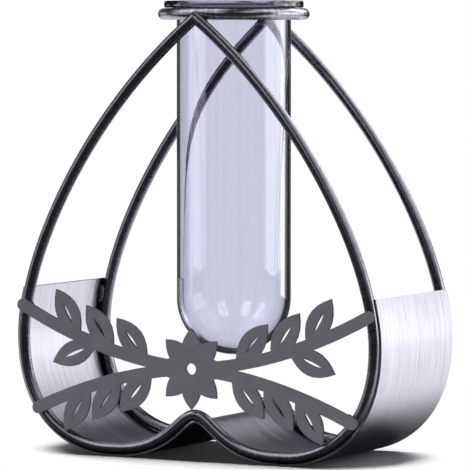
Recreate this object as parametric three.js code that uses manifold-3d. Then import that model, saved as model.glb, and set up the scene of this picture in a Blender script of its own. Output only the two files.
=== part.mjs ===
// Glass tube vase in a welded wire stand: two upside-down hearts, a ring, a band and a front ornament.
// Millimetres, +Z up, +X to the right, the front faces -Y. The origin is on the floor under the tube.
import * as THREE from 'three';
import { mergeVertices } from 'three/addons/utils/BufferGeometryUtils.js';
import Module from 'manifold-3d';

const wasm = await Module();
wasm.setup();

// Stock and fits
const ROD_D = 3; // round rod of the hearts and the ring
const BAND_T = 0.5; // sheet of the base band
const PLATE_T = 0.8; // sheet of the front ornament
const JOINT_GAP = 0.05; // hairline between pieces that lie against each other
const BEAD_GAP = 0.1; // hairline between a weld bead and the metal it joins
const SEAT_GAP = 0.1; // between the glass rim and the ring it rests on

// Glass tube
const TUBE_OD = 30;
const TUBE_WALL = 1.5;
const TUBE_LENGTH = 92.8; // top of the rim to the round bottom
const TUBE_OVER_NOTCH = 12.8; // air between the round bottom and the rod in the hearts' notch
const RIM_T = 1.85;
const RIM_FILLET = 1.2; // under the rim, where it leaves the wall
const RIM_EDGE_R = 0.5; // rounding of the rim's outer edge
const LIP_R = 1; // rounding of the mouth
const RIM_INSIDE_CROWN = 0.1; // the rim stops this far inside the ring's crown line

// Support ring
const RING_PLAY = 1.9; // radial play round the tube
const RING_OVER_APEX = 1.1; // the ring's rod lies this much higher than the hearts' apexes

// Heart outline, along the rod's centre line; a pull is the length of a curve's handle
const HEART_W = 102.6;
const WIDEST_RISE = 28.7; // from the lobes' lowest line up to the widest line
const NOTCH_RISE = 9.8; // from the lobes' lowest line up to the notch
const FOOT_SPACING = 50; // between the middles of the two flat feet
const FOOT_FLAT = 3; // flat length under each lobe
const APEX_SLOPE = THREE.MathUtils.degToRad(37.8); // of the rod below level at the apex
const APEX_PULL = 40.5;
const SIDE_PULL_UP = 21.5;
const SIDE_PULL_DOWN = 23.2;
const LOBE_PULL_OUT = 8;
const LOBE_PULL_IN = 16;
const NOTCH_PULL = 5;
const MITRE_GAP = 0.06; // seam where the two rod ends meet at the apex

// Base band
const BAND_RISE = 41; // from the lobes' lowest line up to the band's cut ends

// Front ornament: a flower with four leafy branches
const FLOWER_Z = 24;
const PETALS = 8;
const PETAL_L = 10.5;
const PETAL_W = 5.4;
const FLOWER_EYE_D = 3;
const BRANCH_W = 3.2;
const UPPER_END_Z = 39; // height at which the upper branches lie on the rod
const LOWER_END_Z = 12; // height at which the lower branches lie on the rod
const UPPER_DIP = 4; // how far the upper branches hang below a straight line
const LOWER_ARCH = 3; // how far the lower branches arch above a straight line
const LEAF_L = 14;
const LEAF_W = 6.6;
const LEAF_ANGLE = THREE.MathUtils.degToRad(40); // from the branch's direction
const VEIN_L = 6.5; // slit along the middle of a leaf
const VEIN_W = 0.8;
const UPPER_LEAVES = [[0.26, 1], [0.46, 1], [0.66, 1], [0.56, -1]]; // share of the branch, and side of it
const LOWER_LEAVES = [[0.26, -1], [0.46, -1], [0.66, -1]];

// Weld beads
const BEAD_L = 5; // at the apexes and along the band
const TIP_BEAD_L = 2.6; // behind the branches' ends, short enough to hide there
const BEAD_R = 0.95;
const BEAD_BELOW_END = 4; // from the band's cut ends down to the middle of their beads

// Facets
const ROD_SIDES = 16;
const SIDE_STEPS = 22;
const LOBE_STEPS = 14;
const NOTCH_STEPS = 14;
const TURN_STEPS = 56;
const BOTTOM_STEPS = 11;
const ROUND_STEPS = 4;
const BRANCH_STEPS = 14;
const LEAF_STEPS = 8;
const BEAD_SIDES = 8;

// Places that follow from the sizes above
const rodR = ROD_D / 2;
const tubeR = TUBE_OD / 2;
const lobeZ = BAND_T + JOINT_GAP + rodR;
const notchZ = lobeZ + NOTCH_RISE;
const tubeBottomZ = notchZ + rodR + TUBE_OVER_NOTCH;
const rimTopZ = tubeBottomZ + TUBE_LENGTH;
const rimUnderZ = rimTopZ - RIM_T;
const ringZ = rimUnderZ - SEAT_GAP - rodR;
const ringR = tubeR + RING_PLAY + rodR;
const apexZ = ringZ - RING_OVER_APEX;
const heartY = ringR + ROD_D + JOINT_GAP;
const bandEndZ = lobeZ + BAND_RISE;
const bandInside = rodR + JOINT_GAP;
const plateBackY = -heartY - rodR - JOINT_GAP;

// Finishes
const clearGlass = { color: 0xdfe0f4, roughness: 0.03, metalness: 0, transparent: true, opacity: 0.35 };
const darkSteel = { color: 0x55565c, roughness: 0.25, metalness: 1 };
const brushedSteel = { color: 0xd6d6e4, roughness: 0.4, metalness: 1 };
const greyCoat = { color: 0x64646c, roughness: 0.7, metalness: 0.2 };

const vase = new THREE.Group();

function addPiece(name, geometry, finish) {
  const piece = new THREE.Mesh(geometry, new THREE.MeshStandardMaterial(finish));
  piece.name = name;
  vase.add(piece);
}

// A closed geometry as a solid that can be joined and cut, and back again
function toSolid(geometry) {
  const bare = geometry.clone();
  bare.deleteAttribute('normal');
  bare.deleteAttribute('uv');
  const merged = mergeVertices(bare);
  const vertProperties = new Float32Array(merged.attributes.position.array);
  const triVerts = new Uint32Array(merged.index.array);
  return new wasm.Manifold(new wasm.Mesh({ numProp: 3, vertProperties, triVerts }));
}

function toGeometry(solid) {
  const mesh = solid.getMesh();
  const geometry = new THREE.BufferGeometry();
  geometry.setAttribute('position', new THREE.BufferAttribute(mesh.vertProperties, 3));
  geometry.setIndex(new THREE.BufferAttribute(mesh.triVerts, 1));
  geometry.computeVertexNormals();
  return geometry;
}

// Points on a circular arc, with its angles in degrees
function arc(x, y, radius, from, to, steps) {
  const points = [];
  for (let i = 0; i <= steps; i += 1) {
    const angle = THREE.MathUtils.degToRad(from + ((to - from) * i) / steps);
    points.push(new THREE.Vector2(x + radius * Math.cos(angle), y + radius * Math.sin(angle)));
  }
  return points;
}

// Corners of a round rod's section, with flats to the right, left, top and bottom
function rodSection(x, y, radius) {
  const halfSide = 180 / ROD_SIDES;
  const cornerR = radius / Math.cos(THREE.MathUtils.degToRad(halfSide));
  return arc(x, y, cornerR, halfSide, 360 - halfSide, ROD_SIDES - 1);
}

// A profile of radii and heights turned about the Z axis
function turned(profile) {
  return new THREE.LatheGeometry(profile, TURN_STEPS).rotateX(Math.PI / 2);
}

// An outline drawn in X and Z, cut from sheet whose back face lies at backY
function cutSheet(shape, thickness, backY) {
  const cut = { depth: thickness, bevelEnabled: false, curveSegments: LEAF_STEPS };
  return new THREE.ExtrudeGeometry(shape, cut).rotateX(Math.PI / 2).translate(0, backY, 0);
}

// The heart's centre line, from the apex down the right-hand side and round to the apex again.
// Each curve of the chain has its own number of steps, and equal shares of the way are equal steps.
class HeartLine extends THREE.Curve {
  constructor() {
    super();
    const right = HeartLine.halfCurves(1);
    const left = HeartLine.halfCurves(-1).reverse();
    left.forEach((part) => part.points.reverse());
    this.chain = [...right, ...left].map(({ points, steps }) => {
      const Kind = points.length === 2 ? THREE.LineCurve3 : THREE.CubicBezierCurve3;
      return { curve: new Kind(...points), steps };
    });
    this.steps = this.chain.reduce((sum, part) => sum + part.steps, 0);
  }

  static halfCurves(hand) {
    const at = (x, z) => new THREE.Vector3(hand * x, 0, z);
    const wide = HEART_W / 2;
    const wideZ = lobeZ + WIDEST_RISE;
    const footOut = (FOOT_SPACING + FOOT_FLAT) / 2;
    const footIn = (FOOT_SPACING - FOOT_FLAT) / 2;
    const apexHandle = at(APEX_PULL * Math.cos(APEX_SLOPE), apexZ - APEX_PULL * Math.sin(APEX_SLOPE));
    const upHandle = at(wide, wideZ + SIDE_PULL_UP);
    const downHandle = at(wide, wideZ - SIDE_PULL_DOWN);
    const outHandle = at(footOut + LOBE_PULL_OUT, lobeZ);
    const inHandle = at(footIn - LOBE_PULL_IN, lobeZ);
    const notchHandle = at(NOTCH_PULL, notchZ);
    const side = [at(0, apexZ), apexHandle, upHandle, at(wide, wideZ)];
    const lobe = [at(wide, wideZ), downHandle, outHandle, at(footOut, lobeZ)];
    const foot = [at(footOut, lobeZ), at(footIn, lobeZ)];
    const notch = [at(footIn, lobeZ), inHandle, notchHandle, at(0, notchZ)];
    return [
      { points: side, steps: SIDE_STEPS },
      { points: lobe, steps: LOBE_STEPS },
      { points: foot, steps: 1 },
      { points: notch, steps: NOTCH_STEPS },
    ];
  }

  locate(share) {
    let rest = share * this.steps;
    const part = this.chain.find(({ steps }, i) => {
      if (rest <= steps || i === this.chain.length - 1) return true;
      rest -= steps;
      return false;
    });
    return [part.curve, Math.min(rest / part.steps, 1)];
  }

  getPoint(share) {
    const [curve, u] = this.locate(share);
    return curve.getPoint(u);
  }

  getTangent(share) {
    const [curve, u] = this.locate(share);
    return curve.getTangent(u);
  }

  getPointAt(share) {
    return this.getPoint(share);
  }

  getTangentAt(share) {
    return this.getTangent(share);
  }

  // Unit vector across the rod, pointing out of the heart
  getOutward(share) {
    const along = this.getTangent(share);
    return new THREE.Vector3(-along.z, 0, along.x);
  }

  // The share at which the right-hand side comes down to a height above the feet
  shareAtHeight(z) {
    let above = 0;
    let below = (SIDE_STEPS + LOBE_STEPS) / this.steps;
    for (let i = 0; i < 40; i += 1) {
      const middle = (above + below) / 2;
      if (this.getPoint(middle).z > z) above = middle;
      else below = middle;
    }
    return above;
  }
}

const heart = new HeartLine();

// The two heart rods, each bent from one length, with their ends cut to a mitre at the apex
function mitreEnd(geometry, share, planeX) {
  const end = heart.getPoint(share);
  const along = heart.getTangent(share);
  const corners = geometry.attributes.position;
  const corner = new THREE.Vector3();
  for (let i = 0; i < corners.count; i += 1) {
    corner.fromBufferAttribute(corners, i);
    const fromEnd = corner.clone().sub(end);
    if (fromEnd.length() < ROD_D && Math.abs(fromEnd.dot(along)) < MITRE_GAP) {
      corner.addScaledVector(along, (planeX - corner.x) / along.x);
      corners.setXYZ(i, corner.x, corner.y, corner.z);
    }
  }
}

function heartRod(radius, y) {
  const section = new THREE.Shape(rodSection(0, 0, radius));
  const sweep = { steps: heart.steps, bevelEnabled: false, extrudePath: heart };
  const geometry = new THREE.ExtrudeGeometry(section, sweep);
  mitreEnd(geometry, 0, MITRE_GAP / 2);
  mitreEnd(geometry, 1, -MITRE_GAP / 2);
  return geometry.translate(0, y, 0);
}

addPiece('front_heart_wire', heartRod(rodR, -heartY), darkSteel);
addPiece('rear_heart_wire', heartRod(rodR, heartY), darkSteel);

// The ring between the two apexes
function ringRod(radius) {
  const section = rodSection(ringR, ringZ, radius);
  return turned([...section, section[0]]);
}

addPiece('support_ring', ringRod(rodR), darkSteel);

// The glass tube with its round bottom and turned-out rim
const bottomCentreZ = tubeBottomZ + tubeR;
const boreR = tubeR - TUBE_WALL;
const rimR = ringR - RIM_INSIDE_CROWN;
const tubeProfile = [
  ...arc(0, bottomCentreZ, tubeR, -90, 0, BOTTOM_STEPS),
  ...arc(tubeR + RIM_FILLET, rimUnderZ - RIM_FILLET, RIM_FILLET, 180, 90, ROUND_STEPS),
  ...arc(rimR - RIM_EDGE_R, rimUnderZ + RIM_EDGE_R, RIM_EDGE_R, -90, 0, ROUND_STEPS),
  ...arc(rimR - RIM_EDGE_R, rimTopZ - RIM_EDGE_R, RIM_EDGE_R, 0, 90, ROUND_STEPS),
  ...arc(boreR + LIP_R, rimTopZ - LIP_R, LIP_R, 90, 180, ROUND_STEPS),
  ...arc(0, bottomCentreZ, boreR, 0, -90, BOTTOM_STEPS),
];
tubeProfile[0].x = 0;
tubeProfile[tubeProfile.length - 1].x = 0;
addPiece('glass_tube', turned(tubeProfile), clearGlass);

// The sheet band round the outside of both hearts, from one cut end under the lobes to the other
function bandStrip(inside, outside) {
  const first = heart.shareAtHeight(bandEndZ);
  const shares = [first];
  for (let i = Math.floor(first * heart.steps) + 1; i < (1 - first) * heart.steps; i += 1) {
    shares.push(i / heart.steps);
  }
  shares.push(1 - first);
  const offset = (share, distance) => {
    const point = heart.getPoint(share).addScaledVector(heart.getOutward(share), distance);
    return new THREE.Vector2(point.x, point.z);
  };
  const inner = shares.map((share) => offset(share, inside));
  const outer = shares.map((share) => offset(share, outside));
  return cutSheet(new THREE.Shape([...inner, ...outer.reverse()]), 2 * heartY, heartY);
}

addPiece('base_band', bandStrip(bandInside, bandInside + BAND_T), brushedSteel);

// The front ornament, cut from one sheet: a flower whose branches end on the front rod
const upperEnd = heart.shareAtHeight(UPPER_END_Z);
const lowerEnd = heart.shareAtHeight(LOWER_END_Z);
const flowerCentre = new THREE.Vector2(0, FLOWER_Z);

function cutPlate(shape) {
  return cutSheet(shape, PLATE_T, plateBackY);
}

// A pointed leaf from its root along +X, with or without a slit for its vein
function leaf(length, width, slit) {
  const bulge = (width * 2) / 3;
  const shape = new THREE.Shape();
  shape.bezierCurveTo(length / 3, -bulge, (length * 2) / 3, -bulge, length, 0);
  shape.bezierCurveTo((length * 2) / 3, bulge, length / 3, bulge, 0, 0);
  if (slit) {
    const from = (length - VEIN_L) / 2;
    const vein = new THREE.Path().moveTo(from, 0);
    vein.quadraticCurveTo(length / 2, VEIN_W, from + VEIN_L, 0);
    vein.quadraticCurveTo(length / 2, -VEIN_W, from, 0);
    shape.holes.push(vein);
  }
  return shape;
}

function placedLeaf(shape, root, angle) {
  return toSolid(cutPlate(shape).rotateY(-angle).translate(root.x, 0, root.y));
}

// A strip of even width along a curve
function branchStrip(curve) {
  const across = (u, hand) => {
    const along = curve.getTangent(u);
    const aside = new THREE.Vector2(-along.y, along.x);
    return curve.getPoint(u).addScaledVector(aside, (hand * BRANCH_W) / 2);
  };
  const shares = Array.from({ length: BRANCH_STEPS + 1 }, (_, i) => i / BRANCH_STEPS);
  const left = shares.map((u) => across(u, 1));
  const right = shares.map((u) => across(u, -1)).reverse();
  return toSolid(cutPlate(new THREE.Shape([...left, ...right])));
}

function branch(hand, endShare, lift, leaves) {
  const end = heart.getPoint(endShare);
  const tip = new THREE.Vector2(hand * end.x, end.z);
  const handle = (u) => flowerCentre.clone().lerp(tip, u).add(new THREE.Vector2(0, lift));
  const curve = new THREE.CubicBezierCurve(flowerCentre, handle(1 / 3), handle(2 / 3), tip);
  const endDisc = new THREE.Shape().absarc(tip.x, tip.y, BRANCH_W / 2, 0, 2 * Math.PI);
  const solids = [branchStrip(curve), toSolid(cutPlate(endDisc))];
  leaves.forEach(([share, above]) => {
    const along = curve.getTangent(share);
    const angle = Math.atan2(along.y, along.x) + hand * above * LEAF_ANGLE;
    solids.push(placedLeaf(leaf(LEAF_L, LEAF_W, true), curve.getPoint(share), angle));
  });
  return solids;
}

const petals = Array.from({ length: PETALS }, (_, i) => {
  const angle = Math.PI / 2 + (i * 2 * Math.PI) / PETALS;
  return placedLeaf(leaf(PETAL_L, PETAL_W, false), flowerCentre, angle);
});
const branches = [1, -1].flatMap((hand) => [
  ...branch(hand, upperEnd, -UPPER_DIP, UPPER_LEAVES),
  ...branch(hand, lowerEnd, LOWER_ARCH, LOWER_LEAVES),
]);
const eye = new THREE.Shape().absarc(0, FLOWER_Z, FLOWER_EYE_D / 2, 0, 2 * Math.PI);
const eyePunch = toSolid(cutSheet(eye, 3 * PLATE_T, plateBackY + PLATE_T));
const ornament = [...petals, ...branches].reduce((whole, solid) => whole.add(solid)).subtract(eyePunch);
addPiece('front_ornament', toGeometry(ornament), greyCoat);

// Weld beads: small fillets laid in the corners where the pieces meet
const fatRods = {
  front: toSolid(heartRod(rodR + BEAD_GAP, -heartY)),
  rear: toSolid(heartRod(rodR + BEAD_GAP, heartY)),
};
const fatRing = toSolid(ringRod(rodR + BEAD_GAP));
const fatBand = toSolid(bandStrip(bandInside - BEAD_GAP, bandInside + BEAD_R));
const plateSpace = new THREE.BoxGeometry(2 * HEART_W, 2 * ROD_D, 2 * apexZ);
const fatPlate = toSolid(plateSpace.translate(0, plateBackY + BEAD_GAP - ROD_D, apexZ));
const acrossX = new THREE.Vector3(1, 0, 0);

function addBead(name, length, centre, along, neighbours) {
  const turn = new THREE.Quaternion().setFromUnitVectors(acrossX, along);
  const drop = new THREE.SphereGeometry(1, BEAD_SIDES, BEAD_SIDES).scale(length / 2, BEAD_R, BEAD_R);
  drop.applyQuaternion(turn).translate(centre.x, centre.y, centre.z);
  const bead = neighbours.reduce((solid, neighbour) => solid.subtract(neighbour), toSolid(drop));
  addPiece(name, toGeometry(bead), darkSteel);
}

const sides = [['right', (share) => share], ['left', (share) => 1 - share]];
const depths = [['front', -1], ['rear', 1]];

depths.forEach(([depth, dir]) => {
  const apexBead = new THREE.Vector3(0, dir * (ringR + rodR - BEAD_R / 2), ringZ - rodR - BEAD_R / 2);
  addBead(`${depth}_apex_weld`, BEAD_L, apexBead, acrossX, [fatRods[depth], fatRing]);
});

const bandEndBead = heart.shareAtHeight(bandEndZ - BEAD_BELOW_END);
const footBead = (SIDE_STEPS + LOBE_STEPS + 0.5) / heart.steps;
depths.forEach(([depth, dir]) => {
  sides.forEach(([side, mirrored]) => {
    [['end', bandEndBead], ['foot', footBead]].forEach(([place, share]) => {
      const centre = heart.getPoint(mirrored(share));
      centre.addScaledVector(heart.getOutward(mirrored(share)), bandInside - BEAD_R / 3);
      centre.y = dir * (heartY - rodR - BEAD_R / 3);
      const along = heart.getTangent(mirrored(share));
      addBead(`band_${place}_weld_${depth}_${side}`, BEAD_L, centre, along, [fatRods[depth], fatBand]);
    });
  });
});

sides.forEach(([side, mirrored]) => {
  [['upper', upperEnd], ['lower', lowerEnd]].forEach(([place, share]) => {
    const centre = heart.getPoint(mirrored(share));
    centre.addScaledVector(heart.getOutward(mirrored(share)), -rodR - BEAD_R / 3);
    centre.y = plateBackY + BEAD_R / 2;
    const along = heart.getTangent(mirrored(share));
    addBead(`ornament_weld_${place}_${side}`, TIP_BEAD_L, centre, along, [fatRods.front, fatPlate]);
  });
});

export default vase;
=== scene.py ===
# Glass tube vase in a welded wire stand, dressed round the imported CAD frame.
# Metres, +Z up, +X to the right, the front faces -Y, and the origin is on the floor under the tube.
import math

import bmesh
import bpy
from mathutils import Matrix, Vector


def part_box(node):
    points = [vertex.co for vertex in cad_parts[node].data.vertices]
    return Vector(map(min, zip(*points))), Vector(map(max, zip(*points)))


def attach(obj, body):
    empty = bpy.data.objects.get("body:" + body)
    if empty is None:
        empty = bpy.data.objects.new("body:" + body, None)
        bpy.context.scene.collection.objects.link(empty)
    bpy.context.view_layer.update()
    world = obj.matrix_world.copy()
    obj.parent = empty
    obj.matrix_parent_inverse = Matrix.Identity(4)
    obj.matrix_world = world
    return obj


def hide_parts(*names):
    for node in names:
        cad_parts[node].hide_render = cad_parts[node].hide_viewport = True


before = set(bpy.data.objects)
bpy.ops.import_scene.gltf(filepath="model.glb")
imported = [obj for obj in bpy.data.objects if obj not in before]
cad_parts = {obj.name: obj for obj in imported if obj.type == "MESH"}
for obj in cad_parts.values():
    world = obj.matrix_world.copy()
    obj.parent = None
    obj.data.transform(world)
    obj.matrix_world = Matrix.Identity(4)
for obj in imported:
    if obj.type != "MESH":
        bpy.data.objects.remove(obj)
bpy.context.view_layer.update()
scene = bpy.context.scene
scene.view_settings.view_transform = "Standard"


# Heart wires: two lengths of steel rod, drawn, bent to an upside-down heart and polished dark.
# The ends of each are cut to a mitre and meet at the apex, one in front of the ring and one behind.
wire_low, wire_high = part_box("front_heart_wire")
ring_low, ring_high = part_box("support_ring")
rod_r = (wire_high.y - wire_low.y) / 2
rod_sides = 32
heart_y = -(wire_low.y + wire_high.y) / 2
widest_x = wire_high.x - rod_r
foot_z = wire_low.z + rod_r
ring_over_apex = 0.0011
apex_z = (ring_low.z + ring_high.z) / 2 - ring_over_apex
apex_slope = math.radians(37.8)
apex_pull = 0.0405
widest_z = foot_z + 0.0287
side_pull_up = 0.0215
side_pull_down = 0.0232
foot_out_x = 0.0265
foot_in_x = 0.0235
lobe_pull_out = 0.008
lobe_pull_in = 0.016
notch_z = foot_z + 0.0098
notch_pull = 0.005
mitre_gap = 0.00008
line_steps = 32
weld_distance = 0.000005
toward_front = (0, -1, 0)


def at(x, z):
    return Vector((x, 0, z))


apex_along = at(math.cos(apex_slope), -math.sin(apex_slope))
apex, widest = at(0, apex_z), at(widest_x, widest_z)
foot_out, foot_in = at(foot_out_x, foot_z), at(foot_in_x, foot_z)
notch = at(0, notch_z)
side_curve = (apex, apex + apex_pull * apex_along, widest + at(0, side_pull_up), widest)
lobe_curve = (widest, widest - at(0, side_pull_down), foot_out + at(lobe_pull_out, 0), foot_out)
foot_curve = (foot_out, foot_out.lerp(foot_in, 1 / 3), foot_out.lerp(foot_in, 2 / 3), foot_in)
notch_curve = (foot_in, foot_in - at(lobe_pull_in, 0), notch + at(notch_pull, 0), notch)


def bent_line(name, curves):
    """A line object through a chain of curves, each with a start, two handles and an end."""
    line = bpy.data.curves.new(name, "CURVE")
    line.dimensions = "3D"
    line.resolution_u = line_steps
    spline = line.splines.new("BEZIER")
    spline.bezier_points.add(len(curves))
    ends = [curve[0] for curve in curves] + [curves[-1][3]]
    before = [ends[0]] + [curve[2] for curve in curves]
    after = [curve[1] for curve in curves] + [ends[-1]]
    for point, end, left, right in zip(spline.bezier_points, ends, before, after):
        point.handle_left_type = "FREE"
        point.handle_right_type = "FREE"
        point.co = end
        point.handle_left = left
        point.handle_right = right
    return link_to_scene(name, line)


def link_to_scene(name, data):
    made = bpy.data.objects.new(name, data)
    scene.collection.objects.link(made)
    return made


def add_node(tree, kind, feeds=None, **settings):
    """Adds a node, with its settings, and its inputs as values or as other nodes' outputs."""
    node = tree.nodes.new(kind)
    for key, value in settings.items():
        setattr(node, key, value)
    for key, value in (feeds or {}).items():
        if isinstance(value, bpy.types.NodeSocket):
            tree.links.new(value, node.inputs[key])
        else:
            node.inputs[key].default_value = value
    return node


def add_math(tree, operation, *values):
    return add_node(tree, "ShaderNodeMath", dict(enumerate(values)), operation=operation).outputs[0]


def add_vectors(tree, operation, *vectors):
    """The vector, or for a length or a dot product the number, that an operation makes of vectors."""
    node = add_node(tree, "ShaderNodeVectorMath", dict(enumerate(vectors)), operation=operation)
    return node.outputs["Value" if operation in ("LENGTH", "DOT_PRODUCT") else "Vector"]


def add_scaled(tree, vector, scale):
    feeds = {"Vector": vector, "Scale": scale}
    return add_node(tree, "ShaderNodeVectorMath", feeds, operation="SCALE").outputs[0]


def add_axis(tree, vector, axis):
    return add_node(tree, "ShaderNodeSeparateXYZ", {0: vector}).outputs[axis]


def new_shape_tree(name, inputs):
    """A geometry tree with named inputs, and the outputs of its group input node."""
    tree = bpy.data.node_groups.new(name, "GeometryNodeTree")
    tree.interface.new_socket("Piece", in_out="OUTPUT", socket_type="NodeSocketGeometry")
    tree.interface.new_socket("Line", in_out="INPUT", socket_type="NodeSocketGeometry")
    for label, kind in inputs.items():
        tree.interface.new_socket(label, in_out="INPUT", socket_type="NodeSocket" + kind)
    return tree, add_node(tree, "NodeGroupInput").outputs


def add_circle(tree, steps, radius):
    feeds = {"Resolution": steps, "Radius": radius}
    return add_node(tree, "GeometryNodeCurvePrimitiveCircle", feeds).outputs["Curve"]


def add_moved(tree, piece, by):
    return add_node(tree, "GeometryNodeTransform", {"Geometry": piece, "Translation": by}).outputs[0]


def add_sweep(tree, line, section, level, scale=1.0):
    """The mesh of a section swept along a line in the plane across a level, and marks for its end rings."""
    steps = add_node(tree, "GeometryNodeResampleCurve", {"Curve": line}, mode="EVALUATED")
    feeds = {"Curve": steps.outputs[0], "Normal": level}
    steady = add_node(tree, "GeometryNodeSetCurveNormal", feeds, mode="FREE")
    marks = add_node(tree, "GeometryNodeCaptureAttribute", {"Geometry": steady.outputs[0]})
    marks.capture_items.new("FLOAT", "Along")
    marks.capture_items.new("BOOLEAN", "First")
    marks.capture_items.new("BOOLEAN", "Last")
    way = add_node(tree, "GeometryNodeSplineParameter")
    first = add_node(tree, "GeometryNodeCurveEndpointSelection", {"Start Size": 1, "End Size": 0})
    last = add_node(tree, "GeometryNodeCurveEndpointSelection", {"Start Size": 0, "End Size": 1})
    tree.links.new(way.outputs["Length"], marks.inputs["Along"])
    tree.links.new(first.outputs[0], marks.inputs["First"])
    tree.links.new(last.outputs[0], marks.inputs["Last"])
    feeds = {"Curve": marks.outputs[0], "Profile Curve": section, "Scale": scale, "Fill Caps": True}
    mesh = add_node(tree, "GeometryNodeCurveToMesh", feeds)
    feeds = {"Geometry": mesh.outputs[0], "Name": "along", "Value": marks.outputs["Along"]}
    kept = add_node(tree, "GeometryNodeStoreNamedAttribute", feeds, data_type="FLOAT", domain="POINT")
    return kept.outputs[0], marks.outputs["First"], marks.outputs["Last"]


def add_mirrored(tree, half, last):
    """Opens the last end of a right-hand half and closes it with the half's mirror image."""
    feeds = {"Geometry": half, "Selection": last}
    opened = add_node(tree, "GeometryNodeDeleteGeometry", feeds, domain="FACE", mode="ONLY_FACE")
    feeds = {"Geometry": opened.outputs[0], "Scale": (-1, 1, 1)}
    other = add_node(tree, "GeometryNodeTransform", feeds)
    turned = add_node(tree, "GeometryNodeFlipFaces", {"Mesh": other.outputs[0]})
    both = add_node(tree, "GeometryNodeJoinGeometry", {0: opened.outputs[0]})
    tree.links.new(turned.outputs[0], both.inputs[0])
    feeds = {"Geometry": both.outputs[0], "Distance": weld_distance}
    return add_node(tree, "GeometryNodeMergeByDistance", feeds).outputs[0]


def end_shape_tree(tree, mesh, finish):
    real = add_node(tree, "GeometryNodeRealizeInstances", {"Geometry": mesh})
    smooth = add_node(tree, "GeometryNodeSetShadeSmooth", {"Geometry": real.outputs[0]})
    feeds = {"Geometry": smooth.outputs[0], "Material": finish}
    coated = add_node(tree, "GeometryNodeSetMaterial", feeds)
    add_node(tree, "NodeGroupOutput", {0: coated.outputs[0]})


def made_by(tree, name, values, line=None, corner=40):
    """The plain mesh object that a tree makes from a line, with edges over a corner's degrees sharp."""
    host = line or link_to_scene(name + "_host", bpy.data.meshes.new(name + "_host"))
    modifier = host.modifiers.new(tree.name, "NODES")
    modifier.node_group = tree
    for socket in tree.interface.items_tree:
        if socket.in_out == "INPUT" and socket.name in values:
            modifier[socket.identifier] = values[socket.name]
    evaluated = host.evaluated_get(bpy.context.evaluated_depsgraph_get())
    piece = link_to_scene(name, bpy.data.meshes.new_from_object(evaluated))
    host.modifiers.remove(modifier)
    if line is None:
        bpy.data.objects.remove(host)
    face_outwards(piece.data, math.radians(corner))
    return piece


def face_outwards(mesh, corner):
    work = bmesh.new()
    work.from_mesh(mesh)
    bmesh.ops.recalc_face_normals(work, faces=work.faces)
    for face in work.faces:
        face.smooth = True
    for edge in work.edges:
        edge.smooth = edge.calc_face_angle(0) < corner
    work.to_mesh(mesh)
    work.free()


def new_shader_group(name, inputs, output):
    group = bpy.data.node_groups.new(name, "ShaderNodeTree")
    for label, kind in inputs.items():
        group.interface.new_socket(label, in_out="INPUT", socket_type="NodeSocket" + kind)
    group.interface.new_socket(output, in_out="OUTPUT", socket_type="NodeSocketFloat")
    return group, add_node(group, "NodeGroupInput").outputs


# Fine lines left by drawing or brushing: thin across one direction, long in the others
line_inputs = {"Across": "Float", "Place": "Vector", "Pitch": "Float", "Length": "Float"}
fine_lines, given = new_shader_group("fine_lines", line_inputs, "Lines")
lines_across = add_math(fine_lines, "DIVIDE", given["Across"], given["Pitch"])
lines_place = add_scaled(fine_lines, given["Place"], add_math(fine_lines, "DIVIDE", 1.0, given["Length"]))
feeds = {"Vector": lines_place, "W": lines_across, "Scale": 1.0, "Detail": 2.0}
lines_noise = add_node(fine_lines, "ShaderNodeTexNoise", feeds, noise_dimensions="4D")
add_node(fine_lines, "NodeGroupOutput", {"Lines": lines_noise.outputs["Fac"]})


def new_finish(name):
    finish = bpy.data.materials.new(name)
    finish.use_nodes = True
    return finish, finish.node_tree, finish.node_tree.nodes["Principled BSDF"]


def add_place(tree):
    return add_node(tree, "ShaderNodeTexCoord").outputs["Object"]


def add_along(tree):
    return add_node(tree, "ShaderNodeAttribute", attribute_name="along").outputs["Fac"]


def add_noise(tree, place, scale, detail):
    feeds = {"Vector": place, "Scale": scale, "Detail": detail}
    return add_node(tree, "ShaderNodeTexNoise", feeds).outputs["Fac"]


def add_lines(tree, across, place, pitch, length):
    feeds = {"Across": across, "Place": place, "Pitch": pitch, "Length": length}
    return add_node(tree, "ShaderNodeGroup", feeds, node_tree=fine_lines).outputs["Lines"]


def add_ramp(tree, share, low, high, low_colour, high_colour):
    ramp = add_node(tree, "ShaderNodeValToRGB", {"Fac": share})
    ramp.color_ramp.elements[0].position = low
    ramp.color_ramp.elements[1].position = high
    ramp.color_ramp.elements[0].color = (*low_colour, 1)
    ramp.color_ramp.elements[1].color = (*high_colour, 1)
    return ramp.outputs["Color"]


def add_range(tree, value, low, high, to_low, to_high):
    feeds = {"Value": value, "From Min": low, "From Max": high, "To Min": to_low, "To Max": to_high}
    return add_node(tree, "ShaderNodeMapRange", feeds).outputs[0]


def add_bump(tree, shader, height, strength, distance):
    feeds = {"Height": height, "Strength": strength, "Distance": distance}
    bump = add_node(tree, "ShaderNodeBump", feeds)
    tree.links.new(bump.outputs[0], shader.inputs["Normal"])


def new_rod_finish(name, dull, bright, smooth, rough):
    """Dark polished steel with fine lines round the rod, between a dull and a bright colour."""
    finish, tree, shader = new_finish(name)
    place = add_place(tree)
    rod_lines = add_lines(tree, add_along(tree), place, pitch=0.0007, length=0.0060)
    rod_mix = add_math(tree, "ADD", rod_lines, add_noise(tree, place, scale=140.0, detail=3.0))
    tree.links.new(add_ramp(tree, rod_lines, 0.3, 0.7, dull, bright), shader.inputs["Base Color"])
    tree.links.new(add_range(tree, rod_mix, 0.7, 1.3, smooth, rough), shader.inputs["Roughness"])
    shader.inputs["Metallic"].default_value = 1.0
    add_bump(tree, shader, rod_lines, strength=0.05, distance=0.00002)
    return finish


dark_rod = new_rod_finish("dark_polished_rod", (0.24, 0.24, 0.28), (0.33, 0.33, 0.38), 0.22, 0.30)

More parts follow.
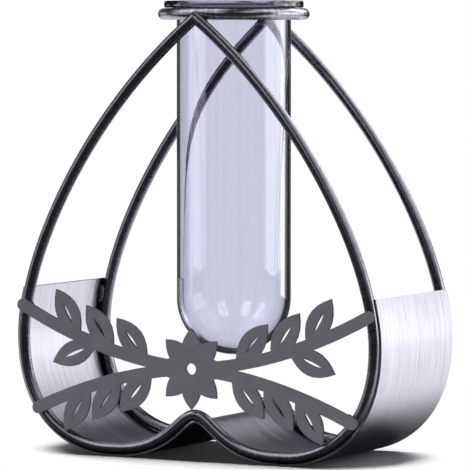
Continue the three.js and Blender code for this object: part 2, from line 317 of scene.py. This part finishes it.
rod_inputs = {"Rod Radius": "Float", "Sides": "Int", "Apex Along": "Vector", "Half Gap": "Float"}
rod_inputs.update({"Depth": "Vector", "Finish": "Material"})
heart_tree, given = new_shape_tree("bent_heart_rod", rod_inputs)
section = add_circle(heart_tree, given["Sides"], given["Rod Radius"])
half, first, last = add_sweep(heart_tree, given["Line"], section, toward_front)
corner = add_node(heart_tree, "GeometryNodeInputPosition").outputs[0]
short = add_math(heart_tree, "SUBTRACT", given["Half Gap"], add_axis(heart_tree, corner, "X"))
slide = add_math(heart_tree, "DIVIDE", short, add_axis(heart_tree, given["Apex Along"], "X"))
feeds = {"Geometry": half, "Selection": first, "Offset": add_scaled(heart_tree, given["Apex Along"], slide)}
mitred = add_node(heart_tree, "GeometryNodeSetPosition", feeds)
whole = add_mirrored(heart_tree, mitred.outputs[0], last)
end_shape_tree(heart_tree, add_moved(heart_tree, whole, given["Depth"]), given["Finish"])

heart_line = bent_line("heart_line", [side_curve, lobe_curve, foot_curve, notch_curve])
for depth, y in (("front", -heart_y), ("rear", heart_y)):
    sizes = {"Rod Radius": rod_r, "Sides": rod_sides, "Apex Along": apex_along, "Half Gap": mitre_gap / 2}
    wire = made_by(heart_tree, depth + "_wire", {**sizes, "Depth": (0, y, 0), "Finish": dark_rod}, heart_line)
    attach(wire, "stand")
    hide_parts(depth + "_heart_wire")
bpy.data.objects.remove(heart_line)


# Support ring: one turn of the same rod, welded between the two apexes. Its finish is a copy of the rod's
# with lighter colours, as a painted highlight.
# The rim of the glass rests on top of it.
ring_r = ring_high.x - rod_r
ring_z = (ring_low.z + ring_high.z) / 2
ring_steps = 160
upward = (0, 0, 1)
# A lighter copy of the rod's finish: the lighter colours are a painted highlight, not a different steel.
rod_painted_lighter = new_rod_finish("rod_with_painted_highlight", (0.27, 0.27, 0.31), (0.54, 0.54, 0.61), 0.22, 0.30)

ring_inputs = {"Ring Radius": "Float", "Steps": "Int", "Rod Radius": "Float", "Sides": "Int"}
ring_inputs.update({"Height": "Vector", "Finish": "Material"})
ring_tree, given = new_shape_tree("rod_ring", ring_inputs)
turn = add_circle(ring_tree, given["Steps"], given["Ring Radius"])
section = add_circle(ring_tree, given["Sides"], given["Rod Radius"])
hoop, first, last = add_sweep(ring_tree, turn, section, upward)
end_shape_tree(ring_tree, add_moved(ring_tree, hoop, given["Height"]), given["Finish"])

sizes = {"Ring Radius": ring_r, "Steps": ring_steps, "Rod Radius": rod_r, "Sides": rod_sides}
ring = made_by(ring_tree, "ring", {**sizes, "Height": (0, 0, ring_z), "Finish": rod_painted_lighter})
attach(ring, "stand")
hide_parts("support_ring")


# Base band: a strip of thin sheet steel, brushed along its length and bent round both hearts' lobes.
# It is cut straight at both ends and welded to the two wires from inside. Its inner face is painted dark
# next to the rods, as painted shade in the corners.
band_low, band_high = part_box("base_band")
joint_gap = 0.00005
band_inside = rod_r + joint_gap
band_t = band_high.x - widest_x - band_inside
band_w = band_high.y - band_low.y
band_end_z = foot_z + 0.041
band_edge_r = 0.00012
band_corner = 8
corner_shade_reach = 0.0032
corner_shade_from = band_w / 2 - rod_r - corner_shade_reach
corner_shade_colour = (0.03, 0.03, 0.035, 1)
band_middle = (0, 0, 0.035)
halvings = 40


def along_curve(curve, share):
    """A point of a curve, and the direction there."""
    start, after, before, end = curve
    first, middle, second = start.lerp(after, share), after.lerp(before, share), before.lerp(end, share)
    left, right = first.lerp(middle, share), middle.lerp(second, share)
    return left.lerp(right, share), (right - left).normalized()


def share_at_height(curve, z):
    above, below = 0.0, 1.0
    for _ in range(halvings):
        share = (above + below) / 2
        if along_curve(curve, share)[0].z > z:
            above = share
        else:
            below = share
    return above


def rest_of_curve(curve, share):
    """The part of a curve after a share of it, as a curve of its own."""
    start, after, before, end = curve
    middle, second = after.lerp(before, share), before.lerp(end, share)
    return along_curve(curve, share)[0], middle.lerp(second, share), second, end


def add_colour_mix(tree, share, low, high):
    return add_node(tree, "ShaderNodeMix", {"Factor": share, 6: low, 7: high}, data_type="RGBA").outputs[2]


brushed_band, tree, shader = new_finish("brushed_band")
place = add_place(tree)
across = add_axis(tree, place, "Y")
way = add_node(tree, "ShaderNodeCombineXYZ", {"X": add_along(tree)}).outputs[0]
hairs = add_lines(tree, across, way, pitch=0.00035, length=0.007)
streaks = add_lines(tree, across, way, pitch=0.0011, length=0.030)
brushed = add_math(tree, "MULTIPLY", add_math(tree, "ADD", hairs, streaks), 0.5)
band_colour = add_ramp(tree, brushed, 0.35, 0.65, (0.60, 0.60, 0.69), (0.86, 0.86, 0.97))
# The inner face is painted dark next to each rod: painted shade in the corner between band and rod.
facing_out = add_node(tree, "ShaderNodeTexCoord").outputs["Normal"]
to_middle = add_vectors(tree, "SUBTRACT", band_middle, place)
on_inside = add_math(tree, "GREATER_THAN", add_vectors(tree, "DOT_PRODUCT", to_middle, facing_out), 0.0)
shade_by_rod = add_range(tree, add_math(tree, "ABSOLUTE", across), corner_shade_from, corner_shade_from + corner_shade_reach, 0.0, 1.0)
band_colour = add_colour_mix(tree, add_math(tree, "MULTIPLY", on_inside, shade_by_rod), band_colour, corner_shade_colour)
tree.links.new(band_colour, shader.inputs["Base Color"])
tree.links.new(add_range(tree, brushed, 0.35, 0.65, 0.26, 0.42), shader.inputs["Roughness"])
shader.inputs["Metallic"].default_value = 1.0
add_bump(tree, shader, brushed, strength=0.7, distance=0.0001)

band_inputs = {"Sheet": "Float", "Width": "Float", "Edge Radius": "Float", "Offset": "Vector"}
band_inputs["Finish"] = "Material"
band_tree, given = new_shape_tree("bent_band", band_inputs)
feeds = {"Width": given["Width"], "Height": given["Sheet"]}
sheet = add_node(band_tree, "GeometryNodeCurvePrimitiveQuadrilateral", feeds)
feeds = {"Curve": sheet.outputs[0], "Count": 3, "Radius": given["Edge Radius"]}
rounded = add_node(band_tree, "GeometryNodeFilletCurve", feeds, mode="POLY")
outside = add_moved(band_tree, rounded.outputs[0], given["Offset"])
half, first, last = add_sweep(band_tree, given["Line"], outside, toward_front)
end_shape_tree(band_tree, add_mirrored(band_tree, half, last), given["Finish"])

band_start = rest_of_curve(side_curve, share_at_height(side_curve, band_end_z))
band_line = bent_line("band_line", [band_start, lobe_curve, foot_curve, notch_curve])
sizes = {"Sheet": band_t, "Width": band_w, "Edge Radius": band_edge_r}
sizes["Offset"] = (0, -(band_inside + band_t / 2), 0)
band = made_by(band_tree, "band", {**sizes, "Finish": brushed_band}, band_line, band_corner)
bpy.data.objects.remove(band_line)
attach(band, "stand")
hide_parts("base_band")


# Front ornament: a flower with four leafy branches, cut from sheet steel with one cutter path.
# It has a matt grey coat, and the ends of its branches are welded to the front wire.
plate_low, plate_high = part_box("front_ornament")
plate_edge_r = 0.00012
plate_skin = 0.00001

grey_coat, tree, shader = new_finish("matt_grey_coat")
place = add_place(tree)
grain = add_noise(tree, place, scale=5200.0, detail=2.0)
mottle = add_noise(tree, place, scale=170.0, detail=4.0)
coat_colour = add_ramp(tree, mottle, 0.3, 0.7, (0.118, 0.118, 0.140), (0.142, 0.142, 0.166))
tree.links.new(coat_colour, shader.inputs["Base Color"])
tree.links.new(add_range(tree, grain, 0.3, 0.7, 0.58, 0.72), shader.inputs["Roughness"])
shader.inputs["Metallic"].default_value = 0.0
shader.inputs["Specular IOR Level"].default_value = 0.3
add_bump(tree, shader, grain, strength=0.2, distance=0.00004)

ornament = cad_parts["front_ornament"]
ornament.data.materials.clear()
ornament.data.materials.append(grey_coat)
ornament_weld = ornament.modifiers.new("one_skin", "WELD")
ornament_weld.merge_threshold = plate_skin
ornament_edges = ornament.modifiers.new("rounded_edges", "BEVEL")
ornament_edges.width = plate_edge_r
ornament_edges.segments = 2
ornament_edges.limit_method = "ANGLE"
ornament_edges.angle_limit = math.radians(60)


# Weld beads: the small rippled fillets that make the stand one piece. They are steel left as welded.
# Two join the apexes to the ring, eight the wires to the band, and four the wire to the ornament.
bead_l = 0.005
tip_bead_l = 0.0026
bead_r = 0.00085
bead_ripples = 9.0
bead_steps = 73
bead_sides = 16
ripple_depth = 0.10
end_thickness = 0.002
taper_power = 4.0
bead_below_end = 0.004
upper_branch_z = 0.039
lower_branch_z = 0.012

weld_metal, tree, shader = new_finish("weld_metal")
scale_skin = add_noise(tree, add_place(tree), scale=2400.0, detail=4.0)
weld_colour = add_ramp(tree, scale_skin, 0.3, 0.7, (0.09, 0.09, 0.10), (0.16, 0.16, 0.175))
tree.links.new(weld_colour, shader.inputs["Base Color"])
tree.links.new(add_range(tree, scale_skin, 0.3, 0.7, 0.35, 0.6), shader.inputs["Roughness"])
shader.inputs["Metallic"].default_value = 1.0
add_bump(tree, shader, scale_skin, strength=0.3, distance=0.00006)

bead_inputs = {"Start": "Vector", "End": "Vector", "Bead Radius": "Float", "Ripples": "Float"}
bead_inputs.update({"Ripple Depth": "Float", "End Thickness": "Float"})
bead_inputs.update({"Steps": "Int", "Sides": "Int", "Finish": "Material"})
bead_tree, given = new_shape_tree("rippled_bead", bead_inputs)
seam = add_node(bead_tree, "GeometryNodeCurvePrimitiveLine", {"Start": given["Start"], "End": given["End"]})
feeds = {"Curve": seam.outputs[0], "Count": given["Steps"]}
seam_steps = add_node(bead_tree, "GeometryNodeResampleCurve", feeds, mode="COUNT")
section = add_circle(bead_tree, given["Sides"], given["Bead Radius"])
share = add_node(bead_tree, "GeometryNodeSplineParameter").outputs["Factor"]
centred = add_math(bead_tree, "MULTIPLY_ADD", share, 2.0, -1.0)
full = add_math(bead_tree, "ADD", 1.0, given["End Thickness"])
fall = add_math(bead_tree, "POWER", centred, taper_power)
taper = add_math(bead_tree, "SQRT", add_math(bead_tree, "SUBTRACT", full, fall))
wave = add_math(bead_tree, "FRACT", add_math(bead_tree, "MULTIPLY", share, given["Ripples"]))
ripple = add_math(bead_tree, "MULTIPLY_ADD", wave, given["Ripple Depth"], 1.0)
swell = add_math(bead_tree, "MULTIPLY", taper, ripple)
drop, first, last = add_sweep(bead_tree, seam_steps.outputs[0], section, toward_front, swell)
end_shape_tree(bead_tree, drop, given["Finish"])


def lay_bead(node, length, centre, along):
    half_run = along.normalized() * length / 2
    sizes = {"Start": centre - half_run, "End": centre + half_run, "Bead Radius": bead_r}
    sizes.update({"Ripples": bead_ripples, "Ripple Depth": ripple_depth, "End Thickness": end_thickness})
    sizes.update({"Steps": bead_steps, "Sides": bead_sides, "Finish": weld_metal})
    bead = made_by(bead_tree, node + "_bead", sizes)
    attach(bead, "stand")
    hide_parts(node)


def beside_rod(curve, share, hand, outward, y):
    """A point beside the rod on one hand of the heart, and the rod's direction there."""
    point, along = along_curve(curve, share)
    aside = Vector((-along.z, 0, along.x))
    point = point + outward * aside
    return Vector((hand * point.x, y, point.z)), Vector((hand * along.x, 0, along.z))


across_x = Vector((1, 0, 0))
in_band_corner = band_inside - bead_r / 2
in_rod_corner = -rod_r - bead_r / 3
behind_plate = plate_high.y + bead_r / 2
end_share = share_at_height(side_curve, band_end_z - bead_below_end)
for depth, hand_y in (("front", -1), ("rear", 1)):
    apex_corner = Vector((0, hand_y * (ring_r + rod_r - bead_r / 2), ring_z - rod_r - bead_r / 2))
    lay_bead(depth + "_apex_weld", bead_l, apex_corner, across_x)
    bead_y = hand_y * (heart_y + in_rod_corner)
    for side, hand in (("right", 1), ("left", -1)):
        end_place = beside_rod(side_curve, end_share, hand, in_band_corner, bead_y)
        foot_place = beside_rod(foot_curve, 0.5, hand, in_band_corner, bead_y)
        lay_bead(f"band_end_weld_{depth}_{side}", bead_l, *end_place)
        lay_bead(f"band_foot_weld_{depth}_{side}", bead_l, *foot_place)
for place_name, curve, z in (("upper", side_curve, upper_branch_z), ("lower", lobe_curve, lower_branch_z)):
    for side, hand in (("right", 1), ("left", -1)):
        tip_place = beside_rod(curve, share_at_height(curve, z), hand, in_rod_corner, behind_plate)
        lay_bead(f"ornament_weld_{place_name}_{side}", tip_bead_l, *tip_place)


# Glass tube: a test-tube vase of clear, faintly lavender glass, drawn, with a round bottom.
# Its mouth is turned out to a thick flat rim, which hangs on the ring, so the tube lifts straight out.
tube_low, tube_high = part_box("glass_tube")
tube_r = 0.015
tube_wall = 0.0015
bore_r = tube_r - tube_wall
bottom_z = tube_low.z + tube_r
rim_r = tube_high.x
rim_t = 0.00185
rim_under = tube_high.z - rim_t
rim_fillet = 0.0012
rim_edge_r = 0.0005
rim_shade = 0.34
rim_blend = 0.0002
lip_r = 0.001
skin_from = 0.0143
edge_from = 0.70
edge_to = 0.86
edge_shade_colour = (0.05, 0.05, 0.06, 1)
tint_colour = (0.40, 0.40, 0.62, 1)
tint_density = 120.0
draw_scale = (900, 900, 14)
turn_steps = 144
round_steps = 10
bottom_steps = 28
wall_end = 0.02
pole_distance = 0.000002


def arc(x, z, radius, start, end, steps):
    """Points on an arc in the XZ plane, with its angles in degrees."""
    turns = [math.radians(start + (end - start) * i / steps) for i in range(steps + 1)]
    return [at(x + radius * math.cos(turn), z + radius * math.sin(turn)) for turn in turns]


clear_glass, tree, shader = new_finish("clear_glass")
place = add_place(tree)
height = add_axis(tree, place, "Z")
drawn = add_node(tree, "ShaderNodeMapping", {"Vector": place, "Scale": draw_scale}).outputs[0]
draw_lines = add_noise(tree, drawn, scale=1.0, detail=2.0)
smudge = add_noise(tree, place, scale=60.0, detail=3.0)

# Painted shade: the colour is painted dark where the outer skin is seen edge-on, on the wall and on the round
# bottom, and the rim's colour is painted darker too
facing = add_node(tree, "ShaderNodeLayerWeight", {"Blend": 0.5}).outputs["Facing"]
below_centre = add_vectors(tree, "MINIMUM", place, (1, 1, bottom_z))
radius = add_vectors(tree, "LENGTH", add_vectors(tree, "SUBTRACT", below_centre, (0, 0, bottom_z)))
skin = add_math(tree, "GREATER_THAN", radius, skin_from)
edge_shade_share = add_range(tree, add_math(tree, "MULTIPLY", facing, skin), edge_from, edge_to, 0.0, 1.0)
on_rim = add_range(tree, height, rim_under - rim_blend, rim_under + rim_blend, 0.0, rim_shade)
edge_shade_share = add_math(tree, "MAXIMUM", edge_shade_share, on_rim)
line_colour = add_ramp(tree, draw_lines, 0.3, 0.7, (0.90, 0.90, 0.98), (0.94, 0.94, 1.0))
tree.links.new(add_colour_mix(tree, edge_shade_share, line_colour, edge_shade_colour), shader.inputs["Base Color"])
tree.links.new(add_range(tree, smudge, 0.45, 0.75, 0.0008, 0.0034), shader.inputs["Roughness"])
shader.inputs["IOR"].default_value = 1.5
shader.inputs["Transmission Weight"].default_value = 1.0
on_wall = add_range(tree, height, bottom_z, bottom_z + tube_r / 2, 0.0, 1.0)
add_bump(tree, shader, add_math(tree, "MULTIPLY", draw_lines, on_wall), strength=0.04, distance=0.00008)
feeds = {"Color": tint_colour, "Density": tint_density}
depth_tint = add_node(tree, "ShaderNodeVolumeAbsorption", feeds)
tree.links.new(depth_tint.outputs[0], tree.nodes["Material Output"].inputs["Volume"])

arcs = [
    arc(0, bottom_z, tube_r, -90, 0, bottom_steps),
    arc(tube_r + rim_fillet, rim_under - rim_fillet, rim_fillet, 180, 90, round_steps),
    arc(rim_r - rim_edge_r, rim_under + rim_edge_r, rim_edge_r, -90, 0, round_steps),
    arc(rim_r - rim_edge_r, tube_high.z - rim_edge_r, rim_edge_r, 0, 90, round_steps),
    arc(bore_r + lip_r, tube_high.z - lip_r, lip_r, 90, 180, round_steps),
    arc(0, bottom_z, bore_r, 0, -90, bottom_steps),
]
profile = arcs[0]
for following in arcs[1:]:
    start, end = profile[-1], following[0]
    profile = profile + [start.lerp(end, wall_end), start.lerp(end, 1 - wall_end)] + following
work = bmesh.new()
corners = [work.verts.new(point) for point in profile]
edges = [work.edges.new(pair) for pair in zip(corners, corners[1:])]
bmesh.ops.spin(work, geom=corners + edges, cent=(0, 0, 0), axis=upward, dvec=(0, 0, 0),
               angle=math.tau, steps=turn_steps, use_merge=False, use_duplicate=False)
bmesh.ops.remove_doubles(work, verts=work.verts, dist=pole_distance)
bmesh.ops.recalc_face_normals(work, faces=work.faces)
for face in work.faces:
    face.smooth = True
tube = link_to_scene("tube", bpy.data.meshes.new("tube"))
work.to_mesh(tube.data)
work.free()
tube.data.materials.append(clear_glass)
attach(tube, "tube")
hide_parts("glass_tube")


# Floor: a plain white table. Near the vase it takes the lamps and the shadow, and further out it goes over
# into the plain white of the background. In polished metal its colour is painted dark: a painted dark
# reflection in front of the vase, painted shadow under it and painted shade close to the band.
# The glass mirrors it painted dark everywhere.
floor_half = 0.45
white_paint = 0.97
painted_dark_paint = 0.05
shadow_reach = 0.047
white_from = 0.059
shadow_depth = 1.5
# Where the floor's colour is painted dark for metal: in front, as painted shadow under the vase, and close by
dark_front_from = 0.015
dark_front_to = 0.045
dark_front_turn = -150
painted_shadow_inner = 0.060
painted_shadow_outer = 0.115
painted_shadow_depth = 1.2
painted_shadow_from = 0.080
painted_shadow_to = 0.100
shade_from = 0.010
shade_to = 0.080
view_turn = math.radians(27.77)
forward = Vector((-math.sin(view_turn), math.cos(view_turn), 0))
rightward = Vector((math.cos(view_turn), math.sin(view_turn), 0))

work = bmesh.new()
bmesh.ops.create_grid(work, x_segments=8, y_segments=8, size=floor_half)
floor = link_to_scene("floor", bpy.data.meshes.new("floor"))
work.to_mesh(floor.data)
work.free()


def toward(turn):
    """The level direction that lies a turn to the right of straight ahead, in degrees."""
    return forward * math.cos(math.radians(turn)) + rightward * math.sin(math.radians(turn))


def add_step(tree, value, low, high):
    feeds = {"Value": value, "From Min": low, "From Max": high}
    return add_node(tree, "ShaderNodeMapRange", feeds, interpolation_type="SMOOTHSTEP").outputs[0]


def add_drop(tree, value, low, high):
    return add_math(tree, "SUBTRACT", 1.0, add_step(tree, value, low, high))


def add_mix(tree, share, low, high):
    return add_node(tree, "ShaderNodeMix", {0: share, 2: low, 3: high}, data_type="FLOAT").outputs[0]


def add_oval(tree, place, depth):
    """The distance from the middle, with the way to the front or back counted some times over."""
    return add_vectors(tree, "LENGTH", add_vectors(tree, "MULTIPLY", place, (1, depth, 1)))


white_table = bpy.data.materials.new("white_table")
white_table.use_nodes = True
tree = white_table.node_tree
tree.nodes.remove(tree.nodes["Principled BSDF"])
place = add_place(tree)
ray = add_node(tree, "ShaderNodeLightPath").outputs
turned_back = add_math(tree, "GREATER_THAN", ray["Glossy Depth"], 0.5)
inside_glass = add_math(tree, "MULTIPLY", ray["Is Transmission Ray"], turned_back)
seen = add_math(tree, "MAXIMUM", ray["Is Camera Ray"], ray["Is Transmission Ray"])
seen = add_math(tree, "SUBTRACT", seen, inside_glass)

# Painted dark reflection in front, painted shadow under the vase and painted shade close to the band, for
# metal and glass
in_front = add_step(tree, add_vectors(tree, "DOT_PRODUCT", place, toward(dark_front_turn)), dark_front_from, dark_front_to)
under_vase = add_drop(tree, add_oval(tree, place, painted_shadow_depth), painted_shadow_inner, painted_shadow_outer)
under_vase = add_math(tree, "MULTIPLY", under_vase, add_step(tree, ray["Ray Length"], painted_shadow_from, painted_shadow_to))
close_by = add_drop(tree, ray["Ray Length"], shade_from, shade_to)
painted_dark_share = add_math(tree, "MAXIMUM", in_front, add_math(tree, "MAXIMUM", under_vase, close_by))
painted_dark_share = add_math(tree, "MAXIMUM", painted_dark_share, ray["Is Singular Ray"])
painted_dark_share = add_math(tree, "MULTIPLY", painted_dark_share, ray["Is Glossy Ray"])
mirrored_white = add_math(tree, "SUBTRACT", ray["Is Glossy Ray"], painted_dark_share)
paint = add_mix(tree, add_math(tree, "MAXIMUM", painted_dark_share, inside_glass), white_paint, painted_dark_paint)
paint_colour = add_node(tree, "ShaderNodeCombineXYZ", {0: paint, 1: paint, 2: paint}).outputs[0]

fade = add_step(tree, add_oval(tree, place, shadow_depth), shadow_reach, white_from)
plain = add_math(tree, "MULTIPLY", add_math(tree, "MAXIMUM", seen, mirrored_white), fade)
matt = add_node(tree, "ShaderNodeBsdfDiffuse", {"Color": paint_colour}).outputs[0]
white = add_node(tree, "ShaderNodeEmission", {"Color": (1, 1, 1, 1), "Strength": 1.0}).outputs[0]
mixed = add_node(tree, "ShaderNodeMixShader", {"Fac": plain, 1: matt, 2: white})
tree.links.new(mixed.outputs[0], tree.nodes["Material Output"].inputs["Surface"])
floor.data.materials.append(white_table)


# Light: a soft box overhead, low fills from the front and the back, a wide bright window on the right and
# a weaker one on the left, a kicker behind that edges the rods, and three high windows that show only as
# panes in the bottom of the glass. The room is white behind the vase, and dim with soft lights elsewhere.
top_power = 8.3
top_y = 0.01
top_z = 0.9
top_w = 0.40
top_d = 0.16
fill_away = 1.2
fill_z = 0.035
fill_w = 0.8
fill_h = 0.06
window_away = 0.75
kicker_turn = 46
kicker_away = 0.84
kicker_z = 0.56
kicker_size = 0.48
kicker_power = 2.6
kicker_aim_z = 0.07
kicker_seen_from = 0.042
kicker_seen_to = 0.050
pane_away = 0.97
pane_z = 0.58
pane_w = 0.36
pane_h = 0.70
pane_power = 2.8
pane_aim_z = 0.06
panes_seen_below = 0.070
room_dim = 0.024
room_fill = 0.005
horizon_low = 0.03
horizon_high = 0.08


def add_panel(name, where, aim, width, height, power):
    lamp = bpy.data.lights.new(name, "AREA")
    lamp.shape = "RECTANGLE"
    lamp.size = width
    lamp.size_y = height
    lamp.energy = power
    panel = link_to_scene(name, lamp)
    panel.location = where
    panel.rotation_euler = (aim - where).to_track_quat("-Z", "Y").to_euler()
    panel.visible_camera = False
    return panel


def hide_in_gloss(panel):
    panel.visible_glossy = False
    panel.visible_transmission = False


def add_window(name, turn, width, height, power):
    """A panel that stands on the floor, seen in metal and glass."""
    middle = at(0, height / 2)
    window = add_panel(name, toward(turn) * window_away + middle, middle, width, height, power)
    window.visible_diffuse = False


def flagged_tree(lamp):
    """A lamp's tree, what its light paths are, and the height that each of them comes from."""
    lamp.use_nodes = True
    tree = lamp.node_tree
    hit = add_node(tree, "ShaderNodeNewGeometry").outputs
    ray = add_node(tree, "ShaderNodeLightPath").outputs
    way_back = add_scaled(tree, hit["Incoming"], ray["Ray Length"])
    return tree, ray, add_axis(tree, add_vectors(tree, "ADD", hit["Position"], way_back), "Z")


def show_low_down(lamp):
    """Lets a lamp be seen only from low down, as a flag in front of it would."""
    tree, ray, seen_from = flagged_tree(lamp)
    low_down = add_math(tree, "LESS_THAN", seen_from, panes_seen_below)
    tree.links.new(low_down, tree.nodes["Emission"].inputs["Strength"])


def show_over_band(lamp):
    """Lets a lamp be seen only by metal that is higher than the band."""
    tree, ray, seen_from = flagged_tree(lamp)
    over_band = add_step(tree, seen_from, kicker_seen_from, kicker_seen_to)
    in_metal = add_math(tree, "SUBTRACT", 1.0, ray["Is Singular Ray"])
    shown = add_math(tree, "MULTIPLY", over_band, in_metal)
    tree.links.new(shown, tree.nodes["Emission"].inputs["Strength"])


top_aim = Vector((0, top_y, 0))
hide_in_gloss(add_panel("top_box", top_aim + at(0, top_z), top_aim, top_w, top_d, top_power))
for name, turn, power in (("front_fill", -165, 5.8), ("rear_fill", 15, 4.0)):
    aim = at(0, fill_z)
    hide_in_gloss(add_panel(name, toward(turn) * fill_away + aim, aim, fill_w, fill_h, power))
add_window("right_window", turn=90, width=0.60, height=0.30, power=1.5)
add_window("left_window", turn=-92, width=0.50, height=0.66, power=0.7)
where = toward(kicker_turn) * kicker_away + at(0, kicker_z)
kicker = add_panel("kicker", where, at(0, kicker_aim_z), kicker_size, kicker_size, kicker_power)
kicker.visible_diffuse = False
kicker.visible_transmission = False
show_over_band(kicker.data)
for turn in (-148, -108, 151):
    where = toward(turn) * pane_away + at(0, pane_z)
    pane = add_panel(f"high_window_{turn}", where, at(0, pane_aim_z), pane_w, pane_h, pane_power)
    pane.visible_diffuse = False
    pane.visible_glossy = False
    show_low_down(pane.data)

room = bpy.data.worlds.new("white_room")
room.use_nodes = True
scene.world = room
tree = room.node_tree
looking = add_node(tree, "ShaderNodeTexCoord").outputs["Generated"]
rise = add_axis(tree, looking, "Z")
above = add_step(tree, rise, horizon_low, horizon_high)
ray = add_node(tree, "ShaderNodeLightPath").outputs


def add_glow(turn, lift, inner, outer):
    """A soft spot of the room: one within the inner angle of a direction, nothing outside the outer one."""
    lift = math.radians(lift)
    direction = toward(turn) * math.cos(lift) + at(0, math.sin(lift))
    match = add_vectors(tree, "DOT_PRODUCT", looking, direction)
    return add_step(tree, match, math.cos(math.radians(outer)), math.cos(math.radians(inner)))


# What sees a soft light. The first mirror image in the glass counts as the second step of its path.
first_image = add_math(tree, "LESS_THAN", ray["Ray Depth"], 2.5)
glass_image = add_math(tree, "MULTIPLY", ray["Is Glossy Ray"], ray["Is Singular Ray"])
glass_image = add_math(tree, "MULTIPLY", glass_image, first_image)
seen_by = {"all": 1.0, "mirrors": ray["Is Glossy Ray"], "glass": glass_image, "above": above}
seen_by["not glass"] = add_math(tree, "SUBTRACT", 1.0, glass_image)
seen_by["below"] = add_math(tree, "SUBTRACT", 1.0, above)

# Each light's turn and lift, the angles from there where it starts to fade and where it ends, and its level
soft_lights = {
    "ahead": ("above", 0, 0, 10, 35, 0.24),
    "high_card": ("all", 42, 22, 6, 20, 0.5),
    "left_card": ("not glass", -42, 0, 6, 17, 0.8),
    "right_card": ("all", 55, 8, 10, 20, 0.86),
    "right_strip": ("all", 60, -2, 2, 7, 2.6),
    "front_left": ("mirrors", -148, 28, 6, 20, 0.9),
    "front_right": ("mirrors", 151, 33, 6, 20, 0.9),
    "ceiling_left": ("mirrors", -95, 55, 16, 36, 1.4),
    "ceiling_right": ("mirrors", 95, 45, 16, 34, 1.4),
    "backdrop": ("below", 0, 0, 6, 10, 1.0),
    "glass_strip": ("glass", 62, -2, 5, 7, 5.0),
}
lit = room_dim
for name, (viewer, turn, lift, inner, outer, level) in soft_lights.items():
    share = add_math(tree, "MULTIPLY", add_glow(turn, lift, inner, outer), seen_by[viewer])
    share.node.label = name
    lit = add_mix(tree, share, lit, level)

gloss = add_math(tree, "MAXIMUM", ray["Is Glossy Ray"], ray["Is Transmission Ray"])
straight = add_math(tree, "LESS_THAN", ray["Glossy Depth"], 0.5)
straight = add_math(tree, "MULTIPLY", straight, add_math(tree, "LESS_THAN", rise, horizon_low))
straight = add_math(tree, "MULTIPLY", straight, ray["Is Transmission Ray"])
strength = add_mix(tree, gloss, room_fill, lit)
strength = add_mix(tree, add_math(tree, "MAXIMUM", straight, ray["Is Camera Ray"]), strength, 1.0)
tree.links.new(strength, tree.nodes["Background"].inputs["Strength"])
tree.nodes["Background"].inputs["Color"].default_value = (1, 1, 1, 1)


# Camera: a long lens in front, a little to the right and just above the rim, as in the photograph.
view_drop = math.radians(3.025)
camera = bpy.data.cameras.new("camera")
camera.sensor_width = 36
camera.lens = 288.8
camera.clip_end = 50
viewer = link_to_scene("camera", camera)
viewer.location = (0.4614, -0.8756, 0.1098)
viewer.rotation_euler = (math.pi / 2 - view_drop, 0, view_turn)
scene.camera = viewer
